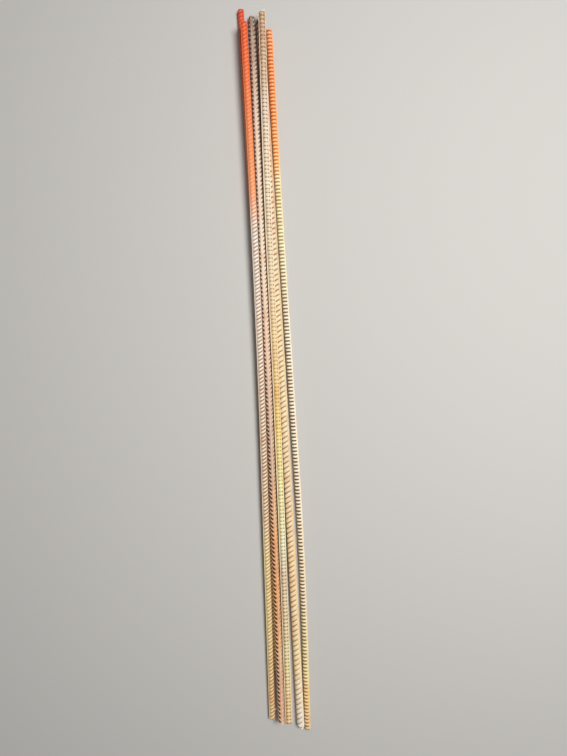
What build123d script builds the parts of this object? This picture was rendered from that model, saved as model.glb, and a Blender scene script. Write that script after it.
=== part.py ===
# Six loose reinforcing bars, lying together as one bundle.
#
# The bars lie on a level floor with their painted ends towards +Y and their bare feet towards -Y.
# Five are half-inch bars and one is a five-eighths bar. Each is rolled steel with a nearly round
# core and two long ribs down opposite sides. Three of them cross over a neighbour and lean on it,
# so one of their ends stands a little off the floor. Nothing ties them together.
#
# Each solid has the bar's section, length, gentle bow and cut ends. The small slanted ribs are
# surface relief and are not cut here, but room for them is left between bars that touch.
#
# Millimetres, +Z up. The origin is on the floor, under the middle of the bundle.

from build123d import *
import math
import os
from dataclasses import dataclass

LONG_RIB_FLARE = 0.5          # how much wider a long rib is at its root than at its crest
CONTACT_PLAY = 0.1            # air left between the ribs of two bars that touch

# cut ends
STRAIGHT_FOOT = 30            # length next to the foot that the cutter's jaws leave straight
ROLLED_EDGE = 0.9             # radius that the shear rolls over round a square end
ROUND_TOP = 3.0               # the same on a top that was battered round
BLUNT_TIP = 1.4               # flat left on the tip of a foot that is cut to a point
TIP_TRIM = 0.4                # length that such a cut takes off the tip


@dataclass
class Stock:
    """One mill's bar."""

    core: float              # radius of the round core
    cross_rib: float         # how far the small slanted ribs stand off the core
    long_rib: float          # how far the two long ribs stand off it
    long_rib_width: float    # width of a long rib along its crest


FINE_HALF_INCH = Stock(6.1, 0.8, 0.8, 1.5)
COARSE_HALF_INCH = Stock(6.15, 1.1, 1.1, 1.8)
BROAD_EDGED_HALF_INCH = Stock(6.1, 0.8, 1.35, 2.0)
FIVE_EIGHTHS = Stock(7.65, 1.0, 1.0, 1.9)


@dataclass
class Bar:
    """One bar, seen from above: where its ends are and how far it bows off the straight."""

    name: str
    stock: Stock
    foot: tuple              # x, y of the bare end
    top: tuple               # x, y of the painted end
    bows: tuple              # how far +x of the straight line it is, at one, two and three quarters of the way
    rib_turn: float          # degrees that the long rib on the +x side is raised from level
    leans_on: str = ""       # the bar that it crosses over
    on_floor: str = "both"   # which end stays on the floor
    foot_cut: tuple = ()     # slanted foot: how far it runs back on the -x and +x side, and x of its tip
    top_edge: float = ROLLED_EDGE

    @property
    def core(self):
        return self.stock.core

    @property
    def reach(self):
        """Radius over the cross ribs, which is what touches the floor and the other bars."""
        return self.stock.core + self.stock.cross_rib

    @property
    def resting_end(self):
        return self.top if self.on_floor == "top" else self.foot

    def on_line(self, share, bow=0.0):
        """Point at a share of the way from foot to top, moved +x by the bow."""
        x = self.foot[0] + (self.top[0] - self.foot[0]) * share + bow
        y = self.foot[1] + (self.top[1] - self.foot[1]) * share
        return (x, y, self.reach)

    def centre_line(self):
        """A short straight foot and three arcs, each running smoothly into the next, level with the floor."""
        quarters = [self.on_line(0.25 * (i + 1), bow) for i, bow in enumerate(self.bows)]
        middle = ThreePointArc(*quarters)
        upper = TangentArc(middle @ 1, self.on_line(1), tangent=middle % 1)
        back = TangentArc(middle @ 0, self.on_line(0), tangent=-(middle % 0))
        lower = back.trim(0, 1 - STRAIGHT_FOOT / back.length)
        knee, ahead = lower @ 1, lower % 1
        straight = Line(knee + ahead * STRAIGHT_FOOT, knee)
        return Wire([straight, lower, middle, upper])


BARS = [
    Bar("red_end_bar_back", FINE_HALF_INCH, (-13.5, -640), (-90, 773.5), (5, 4.5, 1.4), 28),
    Bar("red_end_bar_front", FINE_HALF_INCH, (-24.4, -746), (-81.8, 732.5), (2.9, 5.5, 4), -20,
        leans_on="red_end_bar_back", on_floor="foot"),
    Bar("dark_top_bar", COARSE_HALF_INCH, (-4.2, -746), (-67.2, 760), (1.3, 2.7, 1.4), -85,
        leans_on="red_end_bar_back", on_floor="top", foot_cut=(10, 4, 0.5), top_edge=ROUND_TOP),
    Bar("tan_bar", BROAD_EDGED_HALF_INCH, (11.6, -756), (-44.8, 756.5), (1, 0.1, -2.8), 2,
        leans_on="thick_bar", on_floor="foot"),
    Bar("thick_bar", FIVE_EIGHTHS, (38, -765.3), (-49.6, 749), (1.8, 3.2, 1.6), 45, foot_cut=(15, 7, 1)),
    Bar("orange_end_bar", FINE_HALF_INCH, (53.4, -770.2), (-30.5, 732), (7.3, 4.8, 0.8), 42, foot_cut=(9, 9, 0.5)),
]


def by_name(name):
    for bar in BARS:
        if bar.name == name:
            return bar
    raise KeyError(name)


def sideways(bar, line, y):
    """x of a bar's centre line at distance y."""
    share = (y - bar.foot[1]) / (bar.top[1] - bar.foot[1])
    return (line @ share).X


def lean_slope(bar):
    """Rise per millimetre that just carries a leaning bar over the one it crosses."""
    other = by_name(bar.leans_on)
    line, other_line = bar.centre_line(), other.centre_line()
    touch = bar.reach + other.reach + CONTACT_PLAY
    start = max(bar.foot[1], other.foot[1])
    stop = min(bar.top[1], other.top[1])
    slope = 0.0
    steps = 120
    for i in range(steps + 1):
        y = start + (stop - start) * i / steps
        apart = abs(sideways(bar, line, y) - sideways(other, other_line, y))
        run = abs(y - bar.resting_end[1])
        if apart < touch and run > 1:
            rise = other.reach + math.sqrt(touch ** 2 - apart ** 2) - bar.reach
            slope = max(slope, rise / run)
    return slope


def long_rib(bar, side):
    """Outline of one long rib, a low ridge with sloping flanks."""
    half = bar.stock.long_rib_width / 2
    root = bar.core - 0.4
    crest = bar.core + bar.stock.long_rib
    outline = Polyline(
        (side * root, -half - LONG_RIB_FLARE / 2),
        (side * crest, -half),
        (side * crest, half),
        (side * root, half + LONG_RIB_FLARE / 2),
        close=True,
    )
    return make_face(outline)


def section(bar):
    """Cross-section of the bar: round core with a long rib on each side."""
    return Circle(bar.core) + long_rib(bar, 1) + long_rib(bar, -1)


def rolled_bar(bar, line):
    """The bar as it comes off the mill, swept along its line.

    Seen from the foot the section is drawn upside down, so raising the +x rib turns it backwards.
    """
    start = Plane(origin=line @ 0, x_dir=(1, 0, 0), z_dir=line % 0)
    return sweep(start * Rot(0, 0, -bar.rib_turn) * section(bar), path=line)


def point_cutter(bar):
    """What the cutter takes off a foot to leave a blunt point, seen from above."""
    far = bar.core + 4
    run_left, run_right, tip = bar.foot_cut
    left = tip - BLUNT_TIP / 2
    right = tip + BLUNT_TIP / 2
    slope_left = run_left / (bar.core + left)
    slope_right = run_right / (bar.core - right)
    outline = Polyline(
        (-far, -5),
        (-far, TIP_TRIM + slope_left * (far + left)),
        (left, TIP_TRIM),
        (right, TIP_TRIM),
        (far, TIP_TRIM + slope_right * (far - right)),
        (far, -5),
        close=True,
    )
    return extrude(make_face(outline), amount=3 * far, both=True)


def cut_foot(bar, shape, line):
    """The bar with its foot cut to a point."""
    ahead = line % 0
    at_foot = Plane(origin=line @ 0, x_dir=(ahead.Y, -ahead.X, 0), z_dir=(0, 0, 1))
    return shape - at_foot * point_cutter(bar)


def rim_ring(bar, edge):
    """Ring of steel outside the rim of a square end that faces +Z, where the shear rolled the edge over.

    The quarter round is drawn as two flats. Past the core, a slope of 45 degrees trims the ribs.
    """
    halfway = edge * (1 - math.sqrt(0.5))
    steep = math.tan(math.radians(67.5))
    skin = 0.2
    outer = bar.core + 3
    below = -edge - skin * steep
    outline = Polyline(
        (bar.core - edge - steep, 1),
        (bar.core - halfway, -halfway),
        (bar.core + skin, below),
        (outer, below - (outer - bar.core - skin)),
        (outer, 1),
        close=True,
    )
    return revolve(Rot(90, 0, 0) * make_face(outline), axis=Axis.Z)


def roll_edge(bar, shape, line, end, edge):
    """The bar with the rim of its foot (0) or top (1) rolled over."""
    outward = line % end if end else -(line % end)
    at_end = Plane(origin=line @ end, x_dir=(0, 0, 1), z_dir=outward)
    return shape - at_end * rim_ring(bar, edge)


def lean_over(bar, shape):
    """The bar tipped up about the end that stays on the floor."""
    angle = math.degrees(math.atan(lean_slope(bar)))
    if bar.on_floor == "top":
        angle = -angle
    pivot = Pos(0, bar.resting_end[1], bar.reach)
    return pivot * Rot(angle, 0, 0) * pivot.inverse() * shape


def finished_bar(bar):
    """The bar with both ends as they were cut, lying as it rests."""
    line = bar.centre_line()
    shape = roll_edge(bar, rolled_bar(bar, line), line, 1, bar.top_edge)
    if bar.foot_cut:
        shape = cut_foot(bar, shape, line)
    else:
        shape = roll_edge(bar, shape, line, 0, ROLLED_EDGE)
    if bar.leans_on:
        shape = lean_over(bar, shape)
    return shape.solid()


def under_middle(shapes):
    """Move that puts the origin on the floor under the middle of the whole bundle."""
    box = Compound(shapes).bounding_box()
    return Pos(-box.center().X, -box.center().Y, -box.min.Z)


def main():
    os.makedirs("parts", exist_ok=True)
    shapes = [finished_bar(bar) for bar in BARS]
    to_origin = under_middle(shapes)
    for bar, shape in zip(BARS, shapes):
        export_step(to_origin * shape, f"parts/{bar.name}.step")


main()
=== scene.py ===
"""Six loose reinforcing bars lying together on a pale floor.

Every bar is hot-rolled steel with small cross ribs and two long ribs. They have stood outside, so the steel
wears a thin dusty rust, and some tops still carry the mill's marking paint.
"""

import logging
import math
from collections.abc import Callable
from dataclasses import dataclass, field
from enum import Enum

import bpy
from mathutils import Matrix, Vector

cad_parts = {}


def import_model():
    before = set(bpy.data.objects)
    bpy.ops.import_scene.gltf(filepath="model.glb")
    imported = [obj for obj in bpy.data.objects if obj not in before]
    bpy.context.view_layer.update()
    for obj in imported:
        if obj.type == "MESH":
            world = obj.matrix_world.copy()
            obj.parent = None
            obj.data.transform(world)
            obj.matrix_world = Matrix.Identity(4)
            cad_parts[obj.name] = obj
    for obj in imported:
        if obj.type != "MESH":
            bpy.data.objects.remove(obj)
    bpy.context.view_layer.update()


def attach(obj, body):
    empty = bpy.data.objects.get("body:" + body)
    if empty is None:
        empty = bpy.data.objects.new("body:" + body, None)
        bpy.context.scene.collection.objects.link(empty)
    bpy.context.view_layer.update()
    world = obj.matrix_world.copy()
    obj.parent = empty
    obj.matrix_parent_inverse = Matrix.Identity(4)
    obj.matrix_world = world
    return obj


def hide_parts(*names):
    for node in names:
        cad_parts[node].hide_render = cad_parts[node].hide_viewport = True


logging.basicConfig(level=logging.INFO, format="%(message)s")
log = logging.getLogger("rebar")

MM = 0.001
# The drawing's corner seen from the middle of the bundle, which is where the model's origin is.
DRAWING_CORNER = Vector((18.466, -1.978, 0.05))
# The palest that rubbed and dusty steel gets, and the colour of the painted highlight on lit long ribs.
DUSTY_CREAM_AND_HIGHLIGHT = "#FFF6E2"
# What a rust patch does to the colour under it.
RUST_TINT = "#D9A27A"
# Roughness of the marking paint.
PAINT_ROUGHNESS = 0.5

# Sizes of the bars' own details, in millimetres.
LONG_RIB_FLANK = 0.25   # width of each sloping side of a long rib
ROLLED_EDGE = 0.9       # radius that the shear rolls over round a square end
BLUNT_TIP = 1.4         # flat left on the tip of a foot that is cut to a point
TIP_TRIM = 0.4          # length that such a cut takes off the tip
DIRT_END = 0.1          # length over which the dirt of a hollow ends on the flank of a rib

# Sizes of the patterns in rust and paint, in millimetres.
DRIFT = 35.0            # length over which the colours wander
DRIFT_PUSH = 25.0       # how far they wander along the bar, either way
CRUMBS = 1.8            # crumbs that break up the edge of the dirt
RUST_PATCH = 16.0       # patches of darker rust
SCALE_SPECK = 3.0       # specks of old mill scale
SPECKS_GATHER = 160     # length over which the specks come in
POWDER = 5.0            # spots of powdery rust
PITS = 1.2              # pits in the skin
PIT_DEPTH = 0.15        # how deep they are
PAINT_CLOUD = 7.0       # drifts in which the paint thins out
PAINT_CHIP = 4.0        # spots where it has come off

# Degrees round the bar on either side of a long rib that belong to it.
LONG_RIB_SPAN = 15
# How many pitches are modelled past each end of a bar, before it is cut.
SPARE_PITCHES = 2
# How much of a hollow's dirt is left where the hollow meets the flanks of its ribs.
EDGE_DIRT = 0.4
# How much more than a cross rib freshly torn steel is rubbed.
TORN_STEEL = 5.0


class Cut(Enum):
    """How the cutter left the foot of a bar."""

    SQUARE = "square"
    POINTED = "pointed"


class Lean(Enum):
    """Which end of a bar is lifted because it lies over a neighbour."""

    NONE = "none"
    TOP_UP = "top_up"
    FOOT_UP = "foot_up"


def srgb(hex_colour: str) -> tuple[float, float, float, float]:
    """Turns an sRGB hex colour into the linear values that shaders take.

    Args:
        hex_colour: Six hex digits, with or without a leading hash.

    Returns:
        Red, green, blue and an alpha of 1, linear.
    """
    digits = hex_colour.lstrip("#")
    channels = [int(digits[i : i + 2], 16) / 255 for i in (0, 2, 4)]
    linear = [c / 12.92 if c <= 0.04045 else ((c + 0.055) / 1.055) ** 2.4 for c in channels]
    return (linear[0], linear[1], linear[2], 1.0)


def add_node(
    tree: bpy.types.NodeTree,
    kind: str,
    settings: dict | None = None,
    links: dict | None = None,
) -> bpy.types.Node:
    """Adds one node with its settings, values and incoming links.

    Args:
        tree: The node tree to add to.
        kind: The node's type name.
        settings: Property names, or input names or numbers, and what they are set to.
        links: Input names or numbers and the output sockets that feed them.

    Returns:
        The new node.
    """
    node = tree.nodes.new(kind)
    for key, value in (settings or {}).items():
        if isinstance(key, str) and hasattr(node, key):
            setattr(node, key, value)
        else:
            node.inputs[key].default_value = value
    for key, socket in (links or {}).items():
        tree.links.new(socket, node.inputs[key])
    return node


def deselect_all() -> None:
    """Leaves edit mode and deselects every object."""
    if bpy.context.object and bpy.context.object.mode != "OBJECT":
        bpy.ops.object.mode_set(mode="OBJECT")
    bpy.ops.object.select_all(action="DESELECT")


def make_active(piece: bpy.types.Object) -> None:
    """Selects one object alone and makes it the active one."""
    deselect_all()
    piece.select_set(True)
    bpy.context.view_layer.objects.active = piece


def apply_modifiers(piece: bpy.types.Object) -> None:
    """Applies every modifier of a piece, from the top down."""
    make_active(piece)
    for modifier in list(piece.modifiers):
        bpy.ops.object.modifier_apply(modifier=modifier.name)


def pick(piece: bpy.types.Object, wanted: Callable[[Vector], bool]) -> None:
    """Selects the points of a piece that pass a test, and leaves it in edit mode.

    Args:
        piece: The piece.
        wanted: Test of a point's place.
    """
    make_active(piece)
    bpy.ops.object.mode_set(mode="EDIT")
    bpy.ops.mesh.select_mode(type="VERT")
    bpy.ops.mesh.select_all(action="DESELECT")
    bpy.ops.object.mode_set(mode="OBJECT")
    for vertex in piece.data.vertices:
        vertex.select = wanted(vertex.co)
    bpy.ops.object.mode_set(mode="EDIT")


def blend_steps(value: float, steps: tuple[tuple[float, float], ...]) -> float:
    """Reads a value off a broken line.

    Args:
        value: Where to read it.
        steps: (place, height) of its corners, in rising order.

    Returns:
        The height there, level beyond the first and last corners.
    """
    if value <= steps[0][0]:
        return steps[0][1]
    for (x0, y0), (x1, y1) in zip(steps, steps[1:]):
        if value <= x1:
            return y0 + (y1 - y0) * (value - x0) / (x1 - x0)
    return steps[-1][1]


def from_long_rib(place: Vector) -> float:
    """Degrees round the bar from a point to the nearer long rib."""
    return math.degrees(math.atan2(abs(place.y), abs(place.x)))


def write_marks(piece: bpy.types.Object, hollows: list[float], crests: list[float]) -> None:
    """Keeps how deep in a hollow and how high on a crest each point is, for the finish.

    Args:
        piece: The piece.
        hollows: 1 between two full cross ribs and 0 elsewhere, for each point.
        crests: 1 on top of a rib, 0 on the core, and more on torn steel and on long ribs that carry a painted
            highlight, for each point.
    """
    for name, values in (("hollow", hollows), ("crest", crests)):
        marks = piece.data.attributes.new(name, "FLOAT", "POINT")
        marks.data.foreach_set("value", values)


@dataclass(frozen=True)
class BarStock:
    """One kind of rolled bar, with its sizes in millimetres.

    Attributes:
        core: Radius of the round core.
        rib_height: How far the cross ribs stand off the core.
        long_rib: How far the two long ribs stand off it.
        long_rib_width: Width of a long rib along its crest.
        rib_pitch: Distance from one cross rib to the next.
        rib_slant: Degrees that a cross rib leans from square across the bar.
        rib_crest: Width of a cross rib along its top.
        rib_flank: Width of each sloping side of a cross rib.
        rib_swell: Share of its full height that a cross rib has, by degrees round the bar from a long rib.
        dirt_lies: The same share for the dirt between the cross ribs, or nothing where it is the ribs' own.
        long_rib_rub_and_highlight: How much more than a cross rib a long rib is paled; above 1 it is mostly a
            painted highlight on the long rib's lit edge.
        facets: Flat strips round the bar.
    """

    core: float
    rib_height: float
    long_rib: float
    long_rib_width: float
    rib_pitch: float
    rib_slant: float = 0.0
    rib_crest: float = 2.0
    rib_flank: float = 1.2
    rib_swell: tuple[tuple[float, float], ...] = ((17, 0), (28, 0.45), (39, 0.8), (50, 1))
    dirt_lies: tuple[tuple[float, float], ...] = ()
    long_rib_rub_and_highlight: float = 1.0
    facets: int = 40

    @property
    def reach(self) -> float:
        """Radius over the cross ribs."""
        return self.core + self.rib_height

    @property
    def hollow(self) -> float:
        """Width of the hollow between two cross ribs."""
        return self.rib_pitch - self.rib_crest - 2 * self.rib_flank


@dataclass(frozen=True)
class LayLine:
    """The centre line of one bar as it lies, in millimetres from the drawing's corner.

    Attributes:
        foot: x and y of the bare end.
        top: x and y of the painted end.
        bows: How far +x of the straight line it is at one, two and three quarters of the way up.
        lean: Which end is lifted.
        rise: How far that end is lifted.
        twist: Degrees that the bar is turned towards +x at the foot, the quarters and the top.
    """

    foot: tuple[float, float]
    top: tuple[float, float]
    bows: tuple[float, float, float]
    lean: Lean = Lean.NONE
    rise: float = 0.0
    twist: tuple[float, float, float, float, float] = (0.0, 0.0, 0.0, 0.0, 0.0)

    def point(self, share: float, bow: float, height: float) -> Vector:
        """Finds a point of the line in the model's frame.

        Args:
            share: Share of the way from foot to top.
            bow: How far +x of the straight line the point is.
            height: Height of a level bar's centre line over the floor.

        Returns:
            The point in metres.
        """
        x = self.foot[0] + (self.top[0] - self.foot[0]) * share + bow
        y = self.foot[1] + (self.top[1] - self.foot[1]) * share
        lift = {Lean.NONE: 0.0, Lean.TOP_UP: share, Lean.FOOT_UP: 1 - share}[self.lean]
        return (Vector((x, y, height + lift * self.rise)) + DRAWING_CORNER) * MM

    def points(self, height: float) -> list[Vector]:
        """Five points along the line, foot first, in metres."""
        return [self.point(i / 4, bow, height) for i, bow in enumerate((0.0, *self.bows, 0.0))]


@dataclass(frozen=True)
class ColourStop:
    """Colours of a bar's skin at one distance along the bundle.

    Attributes:
        y_mm: The distance, positive towards the painted ends.
        skin: Colour of the open steel.
        hollow: Colour between two cross ribs.
    """

    y_mm: float
    skin: str
    hollow: str


@dataclass(frozen=True)
class MarkingPaint:
    """Paint that the mill sprays on one end of a bar to mark its grade.

    It is matt and bright. It thins out in drifts and specks, and rust shows through where it is thin.

    Attributes:
        stops: Its colours along the bar.
        fades_at: Distance along the bundle where half of it is gone.
        fade: Length over which it thins out, in millimetres.
        worn: Share of the painted steel that shows through all over.
        rub: How much paler the rib tops are rubbed.
    """

    stops: tuple[ColourStop, ...]
    fades_at: float
    fade: float = 60.0
    worn: float = 0.1
    rub: float = 0.1


@dataclass(frozen=True)
class RustedSteel:
    """Hot-rolled reinforcing steel with a dry, dusty film of rust.

    The mill leaves a dark scale, and rain turns it to a thin powdery rust. Handling rubs the rib tops pale,
    and darker rust stays in the hollows between them, so the bar looks striped from close by.

    Attributes:
        name: Name of the material.
        stops: Its colours along the bar, from the foot up.
        rub: How much paler the rib tops are rubbed.
        specks: Colour of the specks of old mill scale, or nothing.
        specks_from: Distance along the bundle where the specks begin.
        paint: The marking paint, or nothing.
    """

    name: str
    stops: tuple[ColourStop, ...]
    rub: float = 0.4
    specks: str = ""
    specks_from: float = 0.0
    paint: MarkingPaint | None = None

    def material(self) -> bpy.types.Material:
        """Builds the material.

        Returns:
            The finished material.
        """
        material = bpy.data.materials.new(self.name)
        material.use_nodes = True
        tree = material.node_tree
        tree.nodes.clear()
        place = add_node(tree, "ShaderNodeTexCoord").outputs["Object"]
        along = self._wandering(tree, place)
        colour = self._striped(tree, along, self.stops, self._dirt(tree, place), self.rub)
        colour = self._patched(tree, place, colour)
        if self.specks:
            colour = self._specked(tree, place, along, colour)
        gloss = self._dryness(tree, place)
        if self.paint:
            colour, gloss = self._painted(tree, place, along, colour, gloss)
        shader = add_node(
            tree,
            "ShaderNodeBsdfPrincipled",
            {"Metallic": 0.0, "Specular IOR Level": 0.3},
            {"Base Color": colour, "Roughness": gloss, "Normal": self._scale_bump(tree, place)},
        )
        add_node(tree, "ShaderNodeOutputMaterial", links={"Surface": shader.outputs["BSDF"]})
        return material

    def _wandering(self, tree: bpy.types.NodeTree, place: bpy.types.NodeSocket) -> bpy.types.NodeSocket:
        """Gives the distance along the bundle in millimetres, with drifts of a centimetre or two."""
        along = add_node(tree, "ShaderNodeSeparateXYZ", links={0: place}).outputs["Y"]
        drift = add_node(
            tree, "ShaderNodeTexNoise", {"Scale": 1 / (DRIFT * MM), "Detail": 3.0}, {"Vector": place}
        )
        centred = add_node(
            tree,
            "ShaderNodeMath",
            {"operation": "MULTIPLY_ADD", 1: 2 * DRIFT_PUSH, 2: -DRIFT_PUSH},
            {0: drift.outputs["Fac"]},
        )
        wandering = add_node(
            tree,
            "ShaderNodeMath",
            {"operation": "MULTIPLY_ADD", 1: 1 / MM},
            {0: along, 2: centred.outputs[0]},
        )
        return wandering.outputs[0]

    def _dirt(self, tree: bpy.types.NodeTree, place: bpy.types.NodeSocket) -> bpy.types.NodeSocket:
        """Fills the hollows, with an edge that breaks up over a millimetre or so."""
        hollow = add_node(tree, "ShaderNodeAttribute", {"attribute_name": "hollow"}).outputs["Fac"]
        crumbs = add_node(
            tree, "ShaderNodeTexNoise", {"Scale": 1 / (CRUMBS * MM), "Detail": 2.0}, {"Vector": place}
        )
        broken = add_node(
            tree,
            "ShaderNodeMath",
            {"operation": "MULTIPLY_ADD", 1: 0.5},
            {0: crumbs.outputs["Fac"], 2: hollow},
        )
        dirt = add_node(
            tree,
            "ShaderNodeMapRange",
            {"interpolation_type": "SMOOTHSTEP", "From Min": 0.45, "From Max": 1.15},
            {"Value": broken.outputs[0]},
        )
        return dirt.outputs["Result"]

    def _along_ramp(
        self, tree: bpy.types.NodeTree, along: bpy.types.NodeSocket, colours: list[tuple[float, str]]
    ) -> bpy.types.NodeSocket:
        """Runs through colours along the bundle.

        Args:
            tree: The material's node tree.
            along: Distance along the bundle in millimetres.
            colours: (distance, hex colour) pairs, from the foot up.

        Returns:
            The colour socket.
        """
        low, high = colours[0][0], colours[-1][0]
        share = add_node(tree, "ShaderNodeMapRange", {"From Min": low, "From Max": high}, {"Value": along})
        ramp = add_node(tree, "ShaderNodeValToRGB", links={"Fac": share.outputs["Result"]})
        while len(ramp.color_ramp.elements) < len(colours):
            ramp.color_ramp.elements.new(0.5)
        for element, (y_mm, _) in zip(ramp.color_ramp.elements, colours):
            element.position = (y_mm - low) / (high - low)
        for element, (_, colour) in zip(ramp.color_ramp.elements, colours):
            element.color = srgb(colour)
        return ramp.outputs["Color"]

    def _striped(
        self,
        tree: bpy.types.NodeTree,
        along: bpy.types.NodeSocket,
        stops: tuple[ColourStop, ...],
        dirt: bpy.types.NodeSocket,
        rub: float,
    ) -> bpy.types.NodeSocket:
        """Colours the open steel, its rubbed rib tops and its hollows.

        Args:
            tree: The material's node tree.
            along: Distance along the bundle in millimetres.
            stops: The colours along it.
            dirt: 1 in the hollows.
            rub: How much paler the rib tops are.

        Returns:
            The colour socket.
        """
        skin = self._along_ramp(tree, along, [(stop.y_mm, stop.skin) for stop in stops])
        hollow = self._along_ramp(tree, along, [(stop.y_mm, stop.hollow) for stop in stops])
        crest = add_node(tree, "ShaderNodeAttribute", {"attribute_name": "crest"}).outputs["Fac"]
        rubbed = add_node(tree, "ShaderNodeMath", {"operation": "MULTIPLY", 1: rub}, {0: crest})
        # Where the crest mark runs above 1, on long ribs, this pale mix is a painted highlight rather than
        # wear.
        pale = add_node(
            tree,
            "ShaderNodeMix",
            {"data_type": "RGBA", 7: srgb(DUSTY_CREAM_AND_HIGHLIGHT)},
            {0: rubbed.outputs[0], 6: skin},
        )
        mixed = add_node(
            tree, "ShaderNodeMix", {"data_type": "RGBA"}, {0: dirt, 6: pale.outputs[2], 7: hollow}
        )
        return mixed.outputs[2]

    def _patched(
        self, tree: bpy.types.NodeTree, place: bpy.types.NodeSocket, colour: bpy.types.NodeSocket
    ) -> bpy.types.NodeSocket:
        """Darkens and reddens the steel a little in rust patches a bar's width or two long."""
        patches = add_node(
            tree, "ShaderNodeTexNoise", {"Scale": 1 / (RUST_PATCH * MM), "Detail": 4.0}, {"Vector": place}
        )
        patchy = add_node(
            tree,
            "ShaderNodeMapRange",
            {"From Min": 0.45, "From Max": 0.75, "To Max": 0.35},
            {"Value": patches.outputs["Fac"]},
        )
        rusty = add_node(
            tree,
            "ShaderNodeMix",
            {"data_type": "RGBA", "blend_type": "MULTIPLY", 7: srgb(RUST_TINT)},
            {0: patchy.outputs["Result"], 6: colour},
        )
        return rusty.outputs[2]

    def _specked(
        self,
        tree: bpy.types.NodeTree,
        place: bpy.types.NodeSocket,
        along: bpy.types.NodeSocket,
        colour: bpy.types.NodeSocket,
    ) -> bpy.types.NodeSocket:
        """Leaves specks of old mill scale, a millimetre or two wide, towards the top.

        Args:
            tree: The material's node tree.
            place: Object coordinates.
            along: Distance along the bundle in millimetres.
            colour: Colour of the steel.

        Returns:
            The colour socket.
        """
        spots = add_node(
            tree, "ShaderNodeTexNoise", {"Scale": 1 / (SCALE_SPECK * MM), "Detail": 2.0}, {"Vector": place}
        )
        share = add_node(
            tree,
            "ShaderNodeMapRange",
            {"From Min": self.specks_from, "From Max": self.specks_from + SPECKS_GATHER},
            {"Value": along},
        )
        sparse = add_node(
            tree,
            "ShaderNodeMapRange",
            {"From Min": 0.5, "From Max": 0.62, "To Max": 0.55},
            {"Value": spots.outputs["Fac"]},
        )
        amount = add_node(
            tree, "ShaderNodeMath", {"operation": "MULTIPLY"}, {0: share.outputs[0], 1: sparse.outputs[0]}
        )
        mixed = add_node(
            tree,
            "ShaderNodeMix",
            {"data_type": "RGBA", 7: srgb(self.specks)},
            {0: amount.outputs[0], 6: colour},
        )
        return mixed.outputs[2]

    def _dryness(self, tree: bpy.types.NodeTree, place: bpy.types.NodeSocket) -> bpy.types.NodeSocket:
        """Makes powdery rust matt, and the rubbed spots a touch less so."""
        spots = add_node(
            tree, "ShaderNodeTexNoise", {"Scale": 1 / (POWDER * MM), "Detail": 3.0}, {"Vector": place}
        )
        rough = add_node(
            tree, "ShaderNodeMapRange", {"To Min": 0.62, "To Max": 0.92}, {"Value": spots.outputs["Fac"]}
        )
        return rough.outputs["Result"]

    def _scale_bump(self, tree: bpy.types.NodeTree, place: bpy.types.NodeSocket) -> bpy.types.NodeSocket:
        """Gives the skin its pitted mill scale, about a tenth of a millimetre deep."""
        pits = add_node(
            tree, "ShaderNodeTexNoise", {"Scale": 1 / (PITS * MM), "Detail": 5.0}, {"Vector": place}
        )
        bump = add_node(
            tree,
            "ShaderNodeBump",
            {"Strength": 0.5, "Distance": PIT_DEPTH * MM},
            {"Height": pits.outputs["Fac"]},
        )
        return bump.outputs["Normal"]

    def _painted(
        self,
        tree: bpy.types.NodeTree,
        place: bpy.types.NodeSocket,
        along: bpy.types.NodeSocket,
        steel: bpy.types.NodeSocket,
        dry: bpy.types.NodeSocket,
    ) -> tuple[bpy.types.NodeSocket, bpy.types.NodeSocket]:
        """Lays the marking paint over the top end.

        Args:
            tree: The material's node tree.
            place: Object coordinates.
            along: Distance along the bundle in millimetres.
            steel: Colour of the bare steel.
            dry: Roughness of the bare steel.

        Returns:
            The colour and roughness sockets.
        """
        paint = self.paint
        colour = self._striped(tree, along, paint.stops, self._dirt(tree, place), paint.rub)
        cloud = add_node(
            tree, "ShaderNodeTexNoise", {"Scale": 1 / (PAINT_CLOUD * MM), "Detail": 5.0}, {"Vector": place}
        )
        ragged = add_node(
            tree,
            "ShaderNodeMath",
            {"operation": "MULTIPLY_ADD", 1: paint.fade * 2},
            {0: cloud.outputs["Fac"], 2: along},
        )
        cover = add_node(
            tree,
            "ShaderNodeMapRange",
            {"From Min": paint.fades_at + paint.fade / 2, "From Max": paint.fades_at + paint.fade * 1.5},
            {"Value": ragged.outputs[0]},
        )
        chips = add_node(
            tree, "ShaderNodeTexNoise", {"Scale": 1 / (PAINT_CHIP * MM), "Detail": 6.0}, {"Vector": place}
        )
        kept = add_node(
            tree,
            "ShaderNodeMapRange",
            {"From Min": 0.72 - paint.worn, "From Max": 0.8 - paint.worn, "To Min": 1.0, "To Max": 0.5},
            {"Value": chips.outputs["Fac"]},
        )
        film = add_node(
            tree, "ShaderNodeMath", {"operation": "MULTIPLY"}, {0: cover.outputs[0], 1: kept.outputs[0]}
        )
        mixed = add_node(
            tree, "ShaderNodeMix", {"data_type": "RGBA"}, {0: film.outputs[0], 6: steel, 7: colour}
        )
        gloss = add_node(tree, "ShaderNodeMix", {3: PAINT_ROUGHNESS}, {0: film.outputs[0], 2: dry})
        return mixed.outputs[2], gloss.outputs[0]


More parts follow.
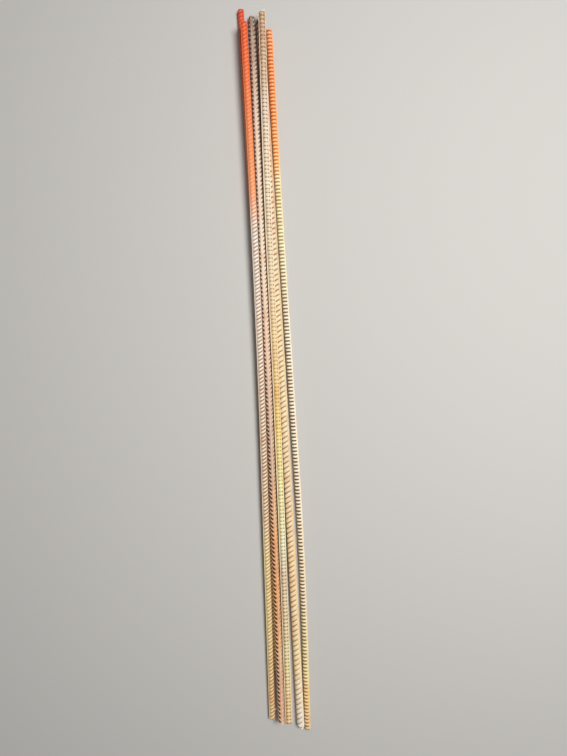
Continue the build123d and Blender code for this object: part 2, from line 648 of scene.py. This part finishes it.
@dataclass(frozen=True)
class Burr:
    """A thin sliver of steel that the cutter or the mill left standing.

    Attributes:
        path: Its line as (to the right, up, along the bar from the foot) in millimetres from the centre line.
        sizes: Its width at each point of the line.
    """

    path: tuple[tuple[float, float, float], ...]
    sizes: tuple[float, ...]

    def build(self) -> bpy.types.Object:
        """Draws a small block out along the line, point by point.

        Returns:
            The sliver, beside the straight bar.
        """
        spots = [Vector((-right, up, along)) * MM for right, up, along in self.path]
        deselect_all()
        bpy.ops.mesh.primitive_circle_add(
            vertices=6, radius=self.sizes[0] * MM / 2, fill_type="NGON", location=(0, 0, 0)
        )
        piece = bpy.context.object
        ahead = (spots[1] - spots[0]).normalized()
        piece.rotation_euler = Vector((0, 0, 1)).rotation_difference(ahead).to_euler()
        piece.location = spots[0]
        bpy.ops.object.transform_apply(location=True, rotation=True, scale=True)
        bpy.ops.object.mode_set(mode="EDIT")
        bpy.ops.mesh.select_mode(type="FACE")
        bpy.ops.mesh.select_all(action="SELECT")
        for here, there, size, last in zip(spots, spots[1:], self.sizes[1:], self.sizes):
            bpy.ops.mesh.extrude_region_move(TRANSFORM_OT_translate={"value": there - here})
            bpy.ops.transform.resize(value=(size / last,) * 3, center_override=there)
        bpy.ops.mesh.select_all(action="SELECT")
        bpy.ops.mesh.normals_make_consistent(inside=False)
        bpy.ops.object.mode_set(mode="OBJECT")
        count = len(piece.data.vertices)
        write_marks(piece, [0.0] * count, [TORN_STEEL] * count)
        return piece


@dataclass
class RibbedBar:
    """One bar, ribbed from end to end, cut and bent to its line.

    Attributes:
        node: The CAD node that the bar replaces.
        slot: The record's material slot; not used.
        stock: The kind of bar.
        line: Its centre line.
        turn: Degrees that the long rib on the +x side is raised from level.
        finish: What the surface is like.
        cut: How the foot was cut.
        foot_cut: How far a pointed foot runs back on the -x and +x side, and x of its tip.
        top_edge: Radius of the rolled or battered rim of the top.
        flank_dirt_and_shade: How much the hollows are darkened on the side of the long ribs that is down, and
            on
        the side that is up, before the bar is turned; partly dirt, and painted shade where one flank lies in
        shadow.
        burrs: Slivers left on it.
        piece: The mesh, once it is begun.
    """

    node: str
    slot: str
    stock: BarStock
    line: LayLine
    turn: float
    finish: RustedSteel
    cut: Cut = Cut.SQUARE
    foot_cut: tuple[float, float, float] = (0.0, 0.0, 0.0)
    top_edge: float = ROLLED_EDGE
    flank_dirt_and_shade: tuple[float, float] = (1.0, 1.0)
    burrs: tuple[Burr, ...] = ()
    piece: bpy.types.Object | None = field(default=None, init=False)

    def build(self) -> bpy.types.Object:
        """Models the bar, gives it its finish and puts it in place of its CAD node.

        Returns:
            The finished bar.
        """
        self.piece = self._one_pitch()
        self._raise_long_ribs()
        self._fade_cross_ribs()
        self._mark_ribs()
        self._repeat(self._length())
        self._turn_ribs()
        self._cut_ends(self._length())
        self._add_burrs()
        self._bend_to_line()
        self._dress()
        return self.piece

    def _length(self) -> float:
        """Length along the centre line, in metres."""
        points = self.line.points(self.stock.reach)
        return sum((b - a).length for a, b in zip(points, points[1:]))

    def _one_pitch(self) -> bpy.types.Object:
        """Models one pitch of bar: a ring drawn up into hollow, flank, crest and flank.

        Returns:
            An open tube one pitch long, standing on +Z, with its long ribs to come on its x axis.
        """
        stock = self.stock
        deselect_all()
        bpy.ops.mesh.primitive_circle_add(vertices=stock.facets, radius=stock.core * MM, location=(0, 0, 0))
        piece = bpy.context.object
        piece.name = f"{self.node}_ribbed"
        bpy.ops.object.mode_set(mode="EDIT")
        bpy.ops.mesh.select_mode(type="EDGE")
        bpy.ops.mesh.select_all(action="SELECT")
        bpy.ops.transform.rotate(value=math.pi / stock.facets, orient_axis="Z", center_override=(0, 0, 0))
        slant = math.radians(stock.rib_slant)
        bpy.ops.transform.rotate(value=-slant, orient_axis="Y", center_override=(0, 0, 0))
        stretch = 1 / math.cos(slant)
        bpy.ops.transform.resize(value=(stretch, 1, stretch), center_override=(0, 0, 0))
        swell = stock.reach / stock.core
        hollow = ((stock.hollow / 2, 1), (stock.hollow / 2, 1))
        rib = ((stock.rib_flank, swell), (stock.rib_crest, 1), (stock.rib_flank, 1 / swell))
        for rise, growth in hollow + rib:
            bpy.ops.mesh.extrude_edges_move(TRANSFORM_OT_translate={"value": (0, 0, rise * MM)})
            bpy.ops.transform.resize(value=(growth, growth, 1), center_override=(0, 0, 0))
        bpy.ops.mesh.select_all(action="SELECT")
        bpy.ops.mesh.normals_make_consistent(inside=False)
        bpy.ops.object.mode_set(mode="OBJECT")
        return piece

    def _is_core(self, place: Vector) -> bool:
        """Tells whether a point of the pitch lies on the core."""
        return math.hypot(place.x, place.y) < (self.stock.core + self.stock.rib_height / 2) * MM

    def _raise_long_ribs(self) -> None:
        """Pulls a strip on each side out to a long rib with steep flanks."""
        stock = self.stock
        step = 360 / stock.facets
        crest = math.degrees(math.asin(stock.long_rib_width / 2 / (stock.core + stock.long_rib)))
        root = math.degrees(math.asin((stock.long_rib_width / 2 + LONG_RIB_FLANK) / stock.core))
        # The two points nearest each long rib slide round the bar to its crest and root corners.
        for here, there in ((0.5 * step, crest), (1.5 * step, root)):
            for side in (1, -1):
                pick(self.piece, lambda p: abs(from_long_rib(p) - here) < step / 4 and p.x * p.y * side > 0)
                slide = -side * math.radians(there - here)
                bpy.ops.transform.rotate(value=slide, orient_axis="Z", center_override=(0, 0, 0))
        between = (crest + root) / 2
        for on_core, radius in ((False, stock.reach), (True, stock.core)):
            pick(self.piece, lambda p: from_long_rib(p) < between and self._is_core(p) is on_core)
            growth = (stock.core + stock.long_rib) / radius
            bpy.ops.transform.resize(value=(growth, growth, 1), center_override=(0, 0, 0))
        bpy.ops.object.mode_set(mode="OBJECT")

    def _fade_cross_ribs(self) -> None:
        """Lets each cross rib die away before it meets the long ribs, as a crescent does."""
        stock = self.stock
        step = 360 / stock.facets
        root = math.degrees(math.asin((stock.long_rib_width / 2 + LONG_RIB_FLANK) / stock.core))
        angles = [root] + [(i + 0.5) * step for i in range(2, stock.facets // 4)]
        for angle in angles:
            share = blend_steps(angle, stock.rib_swell)
            pick(self.piece, lambda p: abs(from_long_rib(p) - angle) < step / 8 and not self._is_core(p))
            size = (stock.core + share * stock.rib_height) / stock.reach
            bpy.ops.transform.resize(value=(size, size, 1), center_override=(0, 0, 0))
        bpy.ops.object.mode_set(mode="OBJECT")

    def _mark_ribs(self) -> None:
        """Marks the hollows between the ribs and the ribs' crests for the finish."""
        stock = self.stock
        slant = math.tan(math.radians(stock.rib_slant))
        deepest = (
            (0, EDGE_DIRT),
            (stock.hollow / 2, 1),
            (stock.hollow, EDGE_DIRT),
            (stock.hollow + DIRT_END, 0),
        )
        hollows, crests = [], []
        for vertex in self.piece.data.vertices:
            place = vertex.co
            stage = (place.z + place.x * slant) / MM
            on_rib = stock.hollow + stock.rib_flank / 2 < stage < stock.rib_pitch - stock.rib_flank / 2
            on_long_rib = math.hypot(place.x, place.y) > (stock.core + 0.9 * stock.long_rib) * MM
            angle = from_long_rib(place)
            beside = angle < LONG_RIB_SPAN
            share = 0.0 if beside else blend_steps(angle, stock.rib_swell)
            dirt = 0.0 if beside else blend_steps(angle, stock.dirt_lies or stock.rib_swell)
            from_edge = stage if stage < stock.rib_pitch - stock.rib_flank / 2 else 0.0
            # A raised factor on one side darkens its hollows as painted shade, on top of their dirt.
            flank = self.flank_dirt_and_shade[0] if place.y < 0 else self.flank_dirt_and_shade[1]
            hollows.append(dirt * flank * blend_steps(from_edge, deepest))
            # A long rib's mark above 1 paints a highlight on it, beyond its rubbing.
            crests.append(stock.long_rib_rub_and_highlight if on_long_rib and beside else share * on_rib)
        write_marks(self.piece, hollows, crests)

    def _repeat(self, length: float) -> None:
        """Repeats the pitch past both ends of the bar.

        Args:
            length: Length of the finished bar in metres.
        """
        pitch = self.stock.rib_pitch * MM
        row = self.piece.modifiers.new("row", "ARRAY")
        row.use_relative_offset = False
        row.use_constant_offset = True
        row.constant_offset_displace = (0, 0, pitch)
        row.count = math.ceil(length / pitch) + 2 * SPARE_PITCHES
        row.use_merge_vertices = True
        row.merge_threshold = 0.02 * MM
        apply_modifiers(self.piece)
        bpy.ops.object.mode_set(mode="EDIT")
        bpy.ops.mesh.select_all(action="SELECT")
        bpy.ops.transform.translate(value=(0, 0, -SPARE_PITCHES * pitch))
        bpy.ops.object.mode_set(mode="OBJECT")

    def _turn_ribs(self) -> None:
        """Turns the bar about its own line, to where its long ribs lie."""
        make_active(self.piece)
        bpy.ops.object.mode_set(mode="EDIT")
        bpy.ops.mesh.select_all(action="SELECT")
        bpy.ops.transform.rotate(value=math.radians(self.turn), orient_axis="Z", center_override=(0, 0, 0))
        bpy.ops.object.mode_set(mode="OBJECT")

    def _slice(
        self, place: tuple[float, float, float], outward: tuple[float, float, float], close: bool = True
    ) -> None:
        """Cuts off all that lies outside a plane.

        Args:
            place: A point of the plane, in metres.
            outward: The plane's normal, towards what goes.
            close: Whether the cut is closed with a face.
        """
        bpy.ops.mesh.select_all(action="SELECT")
        bpy.ops.mesh.bisect(plane_co=place, plane_no=outward, use_fill=close, clear_outer=True)

    def _round_off(self, end: float, outward: int, edge: float) -> None:
        """Cuts an end square and rolls its rim over in a quarter round.

        Args:
            end: Distance of the end from the foot, in metres.
            outward: 1 for the top and -1 for the foot.
            edge: Radius of the rim in millimetres.
        """
        steps = max(2, round(edge))
        self._slice((0, 0, end - outward * edge * MM), (0, 0, outward), close=False)
        depth, radius = edge, self.stock.core
        for i in range(1, steps + 1):
            angle = i * math.pi / 2 / steps
            next_depth = edge * (1 - math.sin(angle))
            next_radius = self.stock.core - edge * (1 - math.cos(angle))
            move = outward * (depth - next_depth) * MM
            bpy.ops.mesh.extrude_edges_move(TRANSFORM_OT_translate={"value": (0, 0, move)})
            size = next_radius / radius
            bpy.ops.transform.resize(value=(size, size, 1), center_override=(0, 0, 0))
            depth, radius = next_depth, next_radius
        bpy.ops.mesh.edge_face_add()

    def _cut_ends(self, length: float) -> None:
        """Cuts the top square and the foot square or to a point.

        Args:
            length: Length of the finished bar in metres.
        """
        make_active(self.piece)
        bpy.ops.object.mode_set(mode="EDIT")
        bpy.ops.mesh.select_mode(type="EDGE")
        self._round_off(length, 1, self.top_edge)
        if self.cut is Cut.SQUARE:
            self._round_off(0, -1, ROLLED_EDGE)
        else:
            self._slice((0, 0, 0), (0, 0, -1))
            run_left, run_right, tip = self.foot_cut
            for side, run in ((-1, run_left), (1, run_right)):
                edge = tip + side * BLUNT_TIP / 2
                across = self.stock.core - side * edge
                self._slice((-edge * MM, 0, TIP_TRIM * MM), (-side * run, 0, -across))
        bpy.ops.mesh.select_all(action="SELECT")
        bpy.ops.mesh.remove_doubles(threshold=0.01 * MM)
        bpy.ops.mesh.normals_make_consistent(inside=False)
        bpy.ops.object.mode_set(mode="OBJECT")

    def _add_burrs(self) -> None:
        """Joins the slivers to the straight bar."""
        for burr in self.burrs:
            sliver = burr.build()
            make_active(self.piece)
            sliver.select_set(True)
            bpy.ops.object.join()

    def _bend_to_line(self) -> None:
        """Bends the straight bar along its centre line, with the twist it has from the mill."""
        deselect_all()
        bpy.ops.curve.primitive_bezier_curve_add(location=(0, 0, 0))
        guide = bpy.context.object
        spline = guide.data.splines[0]
        points = self.line.points(self.stock.reach)
        spline.bezier_points.add(len(points) - len(spline.bezier_points))
        for knot, point, twist in zip(spline.bezier_points, points, self.line.twist):
            knot.co = point
            knot.handle_left_type = knot.handle_right_type = "AUTO"
            knot.tilt = math.radians(twist)
        spline.resolution_u = 24
        guide.data.twist_mode = "Z_UP"
        bend = self.piece.modifiers.new("bend", "CURVE")
        bend.object = guide
        bend.deform_axis = "POS_Z"
        apply_modifiers(self.piece)
        bpy.data.objects.remove(guide)

    def _dress(self) -> None:
        """Gives the bar its finish and puts it in place of its CAD node."""
        make_active(self.piece)
        bpy.ops.object.shade_smooth_by_angle(angle=math.radians(50))
        self.piece.data.materials.clear()
        self.piece.data.materials.append(self.finish.material())
        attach(self.piece, "root")
        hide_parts(self.node)


@dataclass
class Studio:
    """Pale floor, soft light and the camera that looks straight down on the bars.

    Attributes:
        eye_height: Height of the camera over the floor, in metres.
        tilt: Degrees that the camera leans from straight down, towards the feet.
        lens: Focal length for a 36 mm picture height.
        floor_colour: Colour of the floor.
    """

    eye_height: float = 1.2563
    tilt: float = 2.0
    lens: float = 27.71
    floor_colour: str = "#C9C6C1"

    def build(self) -> None:
        """Makes the floor, the lamps, the world and the camera."""
        self._floor()
        self._lamps()
        self._world()
        self._camera()

    def _floor(self) -> None:
        """Lays a plain painted floor under the ribs."""
        deselect_all()
        bpy.ops.mesh.primitive_plane_add(size=14, location=(0, 0, 0))
        floor = bpy.context.object
        floor.name = "floor"
        material = bpy.data.materials.new("plain_floor_paint")
        material.use_nodes = True
        shader = material.node_tree.nodes["Principled BSDF"]
        shader.inputs["Base Color"].default_value = srgb(self.floor_colour)
        shader.inputs["Roughness"].default_value = 0.9
        floor.data.materials.append(material)

    def _lamps(self) -> None:
        """Hangs a large soft lamp at the right and a weaker one at the left."""
        for name, place, size, power in (
            ("key", (0.9, 0.5, 2.3), 0.9, 62.0),
            ("fill", (-1.8, 0.2, 2.4), 2.5, 1.5),
        ):
            deselect_all()
            bpy.ops.object.light_add(type="AREA", location=place)
            lamp = bpy.context.object
            lamp.name = name
            lamp.data.size = size
            lamp.data.energy = power
            lamp.rotation_euler = (-Vector(place)).to_track_quat("-Z", "Y").to_euler()

    def _world(self) -> None:
        """Surrounds the scene with even white light."""
        world = bpy.data.worlds.new("soft_room")
        bpy.context.scene.world = world
        world.use_nodes = True
        world.node_tree.nodes["Background"].inputs["Color"].default_value = (1, 1, 1, 1)
        world.node_tree.nodes["Background"].inputs["Strength"].default_value = 0.16
        bpy.context.scene.view_settings.view_transform = "Standard"

    def _camera(self) -> None:
        """Puts the camera over the middle of the drawing, with the painted ends up in the picture."""
        tilt = math.radians(self.tilt)
        ahead = self.eye_height * math.tan(tilt)
        place = Vector((DRAWING_CORNER.x * MM, DRAWING_CORNER.y * MM + ahead, self.eye_height))
        bpy.ops.object.camera_add(location=place, rotation=(-tilt, 0, 0))
        camera = bpy.context.object
        camera.data.sensor_width = 36
        camera.data.lens = self.lens
        camera.data.dof.use_dof = False
        bpy.context.scene.camera = camera


def band(*stops: tuple[float, str, str]) -> tuple[ColourStop, ...]:
    """Lists colour stops from (distance in millimetres, skin colour, hollow colour)."""
    return tuple(ColourStop(y_mm, skin, hollow) for y_mm, skin, hollow in stops)


def red_end_rust() -> RustedSteel:
    """Yellow-tan rust that turns pinkish towards a red-orange painted end."""
    return RustedSteel(
        "rusted_steel_red_end",
        band(
            (-750, "#F6D298", "#B47E4E"),
            (-690, "#F6CA8C", "#BC844A"),
            (-640, "#F2CE90", "#B0884C"),
            (-560, "#F6DE9C", "#BC9250"),
            (-400, "#F6E0A0", "#B88A4C"),
            (-280, "#F0D2AC", "#80583A"),
            (-50, "#F0D6BA", "#7C5A48"),
            (140, "#F4E2D0", "#94705C"),
            (300, "#F4E6D8", "#A07C6C"),
            (380, "#F0CCB8", "#B88068"),
            (780, "#E8B898", "#B07050"),
        ),
        rub=0.35,
        paint=MarkingPaint(
            band(
                (280, "#FFB98C", "#F0A078"),
                (440, "#FCA068", "#EC8450"),
                (600, "#FA8049", "#E46634"),
                (690, "#F66A36", "#D85428"),
                (750, "#EA5A30", "#CC4626"),
                (775, "#DA4C30", "#BA3A24"),
            ),
            fades_at=350,
            rub=0.05,
        ),
    )


def dark_rust_and_shade() -> RustedSteel:
    """Brownish rust over mill scale, orange near the foot and grey-brown at the battered top."""
    return RustedSteel(
        "rusted_steel_dark",
        # The near-black hollow colours from the foot to the middle are partly painted shade for the flank
        # that lies in shadow.
        band(
            (-750, "#E8B894", "#6A3828"),
            (-660, "#E2AC88", "#4C2418"),
            (-600, "#ECBC8C", "#4A2416"),
            (-520, "#ECA868", "#502810"),
            (-380, "#EAA260", "#582C14"),
            (-300, "#E8AC76", "#5C3824"),
            (-200, "#D2AA8C", "#4A322A"),
            (-50, "#D8B69C", "#4A322C"),
            (60, "#E8C4A8", "#5A3E36"),
            (240, "#E8D2B8", "#523E36"),
            (420, "#E8D6C0", "#4C3834"),
            (560, "#E4CEB6", "#4E3C34"),
            (640, "#D0B8A0", "#584438"),
            (700, "#B8A08A", "#60503F"),
            (770, "#98806C", "#5C4A3E"),
        ),
        rub=0.3,
        specks="#6E4E4A",
        specks_from=500,
    )


def tan_rust() -> RustedSteel:
    """Yellow-tan dust, pale greenish cream near the foot, with brown specks at the top."""
    return RustedSteel(
        "rusted_steel_tan",
        band(
            (-760, "#FAD49A", "#9A6C38"),
            (-690, "#FCE4A8", "#A07C44"),
            (-600, "#F4ECBC", "#988450"),
            (-540, "#ECD8AC", "#8A6640"),
            (-430, "#E8D8B8", "#8A6A50"),
            (-360, "#F0F0C8", "#A09060"),
            (-230, "#F4EEB0", "#B09048"),
            (-100, "#F4D884", "#C09040"),
            (-40, "#ECC880", "#BC8840"),
            (60, "#EED2A0", "#B49058"),
            (240, "#E8D4B0", "#A48460"),
            (420, "#EEE0C0", "#8A7064"),
            (560, "#E4D4BC", "#7C6058"),
            (650, "#D8BC98", "#8A6850"),
            (770, "#D0A880", "#8A6448"),
        ),
        rub=0.18,
        specks="#8A6452",
        specks_from=520,
    )


def thick_rust_and_shaded_top() -> RustedSteel:
    """Tan dust, whitish at the foot, darkening to purple-brown at the top, where painted shade stands for the
    neighbouring bar's shadow.
    """
    return RustedSteel(
        "rusted_steel_thick_shaded_top",
        band(
            (-770, "#FCF2E2", "#AC947C"),
            (-690, "#FFEECA", "#BC9A74"),
            (-620, "#FFE6A8", "#C0945C"),
            (-540, "#FADCA8", "#A87C50"),
            (-400, "#FAD89C", "#B0824C"),
            (-240, "#F0D0A4", "#A07850"),
            (-60, "#EED6A4", "#A08054"),
            (120, "#E8CC96", "#9C784A"),
            (260, "#DEC49A", "#8E6E4A"),
            (420, "#DEB690", "#8C644A"),
            (560, "#E2B08C", "#9A6C54"),
            (680, "#D2A284", "#805446"),
            # The last stops are painted shade: the top of this bar lies in its neighbour's shadow.
            (740, "#A07464", "#5A363A"),
            (760, "#5A2E3A", "#3C1C28"),
        ),
        rub=0.45,
    )


def orange_end_rust() -> RustedSteel:
    """Pale cream dust, yellow and orange near the foot, under a peach-orange painted end."""
    return RustedSteel(
        "rusted_steel_orange_end",
        band(
            (-775, "#F8C47C", "#B07838"),
            (-700, "#FFD684", "#B8883E"),
            (-660, "#FFE69A", "#A88A46"),
            (-580, "#FCE8A8", "#826A36"),
            (-500, "#FCE8BC", "#6A4E2A"),
            (-400, "#FCEAC6", "#563F28"),
            (-100, "#FCECCC", "#52402C"),
            (120, "#F6ECD0", "#6C5A44"),
            (220, "#F4E8BC", "#887450"),
            (300, "#F2ECB8", "#A49058"),
            (400, "#F2E4A8", "#AC8444"),
            (780, "#F0D890", "#A07038"),
        ),
        rub=0.6,
        paint=MarkingPaint(
            band(
                (340, "#F8CC90", "#E0A050"),
                (440, "#FCC47C", "#D07428"),
                (560, "#FFAA60", "#C85C18"),
                (680, "#FCA058", "#C4541C"),
                (740, "#F8AC74", "#CC6C38"),
            ),
            fades_at=440,
            fade=40,
            worn=0.05,
            rub=0.18,
        ),
    )


def bars() -> list[RibbedBar]:
    """Describes the six bars.

    Returns:
        The bars, in the order they are built.
    """
    red_end = red_end_rust()
    small_swell = ((30, 0), (45, 0.5), (65, 1))
    two_columns = ((26, 0), (38, 1), (66, 1), (86, 0.5))
    return [
        RibbedBar(
            "red_end_bar_back",
            "rusted_steel_red_end",
            BarStock(6.1, 0.8, 0.8, 1.5, 7.85, rib_slant=25),
            LayLine((-13.5, -640), (-90, 773.5), (5, 4.5, 1.4)),
            28,
            red_end,
        ),
        RibbedBar(
            "red_end_bar_front",
            "rusted_steel_red_end",
            BarStock(6.1, 0.8, 0.8, 1.5, 7.85, rib_slant=28),
            LayLine((-24.4, -746), (-81.8, 732.5), (2.9, 5.5, 4), Lean.TOP_UP, 29.32),
            -20,
            red_end,
            burrs=(Burr(((5, 2.2, 21), (7.8, 2.6, 21.8), (10.4, 2.8, 22.6)), (3, 2.4, 1.4)),),
        ),
        RibbedBar(
            "dark_top_bar",
            "rusted_steel_dark",
            BarStock(6.15, 1.1, 1.1, 1.8, 8.95, rib_slant=37, rib_crest=2.2, rib_flank=1.4),
            LayLine((-4.2, -746), (-67.2, 760), (1.3, 2.7, 1.4), Lean.FOOT_UP, 18.71, (20, 30, 4, -15, -8)),
            -85,
            dark_rust_and_shade(),
            Cut.POINTED,
            (10, 4, 0.5),
            top_edge=3.0,
            # Hollows on one flank darkened far more: painted shade for the flank that lies in shadow.
            flank_dirt_and_shade=(2.4, 0.8),
        ),
        RibbedBar(
            "tan_bar",
            "rusted_steel_tan",
            BarStock(
                6.1,
                0.8,
                1.35,
                2.0,
                8.0,
                rib_crest=2.8,
                rib_flank=1.0,
                rib_swell=small_swell,
                dirt_lies=two_columns,
                # Long ribs painted near-cream: mostly a painted highlight of their lit edges, partly wear.
                long_rib_rub_and_highlight=4.5,
            ),
            LayLine((11.6, -756), (-44.8, 756.5), (1, 0.1, -2.8), Lean.TOP_UP, 21.72, (12, 15, 22, 20, 10)),
            2,
            tan_rust(),
            burrs=(
                Burr(
                    ((-1.8, 3.4, 1511.5), (0.4, 3.9, 1514.5), (3.6, 4.2, 1516.3), (7.6, 4.4, 1518.2)),
                    (3.4, 3.2, 2.8, 1.8),
                ),
            ),
        ),
        RibbedBar(
            "thick_bar",
            "rusted_steel_tan",
            BarStock(7.65, 1.0, 1.0, 1.9, 10.8, rib_crest=4.0, rib_flank=1.7, rib_slant=30),
            LayLine((38, -765.3), (-49.6, 749), (1.8, 3.2, 1.6), twist=(20, 24, 28, 30, 30)),
            45,
            thick_rust_and_shaded_top(),
            Cut.POINTED,
            (15, 7, 1),
        ),
        RibbedBar(
            "orange_end_bar",
            "rusted_steel_orange_end",
            BarStock(6.1, 0.8, 0.8, 1.5, 7.65, rib_crest=1.9, rib_flank=1.1),
            LayLine((53.4, -770.2), (-30.5, 732), (7.3, 4.8, 0.8), twist=(10, 17, 24, 31, 36)),
            42,
            orange_end_rust(),
            Cut.POINTED,
            (9, 9, 0.5),
            # Hollows darkened a fifth more on both flanks: part dirt, part painted shade.
            flank_dirt_and_shade=(1.2, 1.2),
        ),
    ]


def main() -> None:
    """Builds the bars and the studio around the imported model."""
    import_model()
    for bar in bars():
        piece = bar.build()
        log.info("%s: %d faces", piece.name, len(piece.data.polygons))
    Studio().build()


if __name__ == "__main__":
    main()
